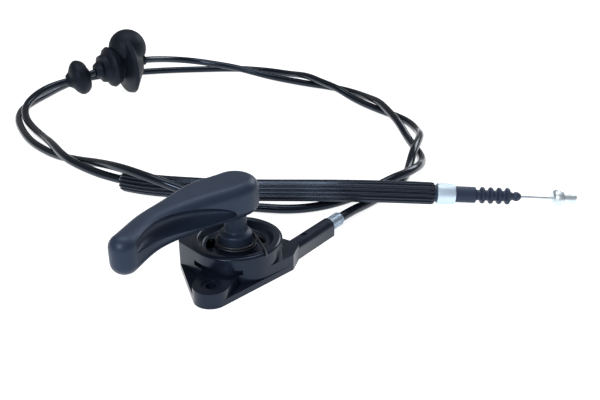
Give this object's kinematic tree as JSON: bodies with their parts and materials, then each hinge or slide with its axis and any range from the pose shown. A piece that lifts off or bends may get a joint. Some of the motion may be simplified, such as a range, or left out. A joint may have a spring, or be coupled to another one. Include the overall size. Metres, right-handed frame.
{
  "type": "hood release cable",
  "caption": "Turning pull handle on a screw-down housing draws an inner wire through a long sheathed conduit, with grommets, a ribbed sleeve and a stud end for the latch.",
  "frame": {"origin": "centre of the housing's front screw hole, on the mounting face", "axes": "+Z out of the mounting face, along the handle's spindle; +X along the latch end of the cable as it lies; the cable lies on the mounting face's plane"},
  "size_m": [0.416, 0.4499, 0.0574],
  "materials": {
    "moulded_housing": "glossy moulded plastic with a fine grain",
    "moulded_handle": "satin moulded plastic",
    "moulded_drum": "satin moulded plastic",
    "conduit_sheath": "glossy extruded sheath",
    "bright_ferrule": "bright, lightly brushed",
    "plated_steel": "plated, drawn",
    "cast_end_fitting": "bright cast metal",
    "grommet_rubber": "smooth moulded rubber",
    "sleeve_rubber": "ribbed satin rubber",
    "white_liner": "smooth"
  },
  "bodies": {
    "housing": {"housing": "moulded_housing", "arm_ferrule": "bright_ferrule", "return_spring": "plated_steel", "conduit": "conduit_sheath", "bulkhead_grommet": "grommet_rubber", "slide_grommet": "grommet_rubber", "ribbed_sleeve": "sleeve_rubber", "end_bush": "moulded_housing", "end_ferrule": "bright_ferrule", "dust_boot": "grommet_rubber", "wire_guide": "white_liner"},
    "handle": {"handle": "moulded_handle", "cable_drum": "moulded_drum", "drum_nipple": "cast_end_fitting", "drum_washer": "plated_steel", "drum_screw": "plated_steel", "drum_wire": "plated_steel"},
    "wire_near": {"arm_wire": "plated_steel"},
    "wire_far": {"pull_wire": "plated_steel", "end_nipple": "cast_end_fitting"}
  },
  "joints": [
    {"name": "handle_turn", "type": "hinge", "parent": "housing", "child": "handle", "pos_m": [0.011, 0.0352, 0], "axis": [0, 0, -1], "range_deg": [0, 55], "stiffness_Nm_per_rad": 0.3, "springref_deg": -11.46},
    {"name": "arm_wire_slide", "type": "slide", "parent": "housing", "child": "wire_near", "axis": [-0.6018, -0.7986, 0], "range_m": [0, 0.01872]},
    {"name": "latch_pull", "type": "slide", "parent": "housing", "child": "wire_far", "axis": [-0.999, 0, 0.0436], "range_m": [0, 0.01872]}
  ],
  "couplings": [
    {"joint": "arm_wire_slide", "follows": "handle_turn", "m_per_rad": 0.0195},
    {"joint": "latch_pull", "follows": "handle_turn", "m_per_rad": 0.0195}
  ]
}
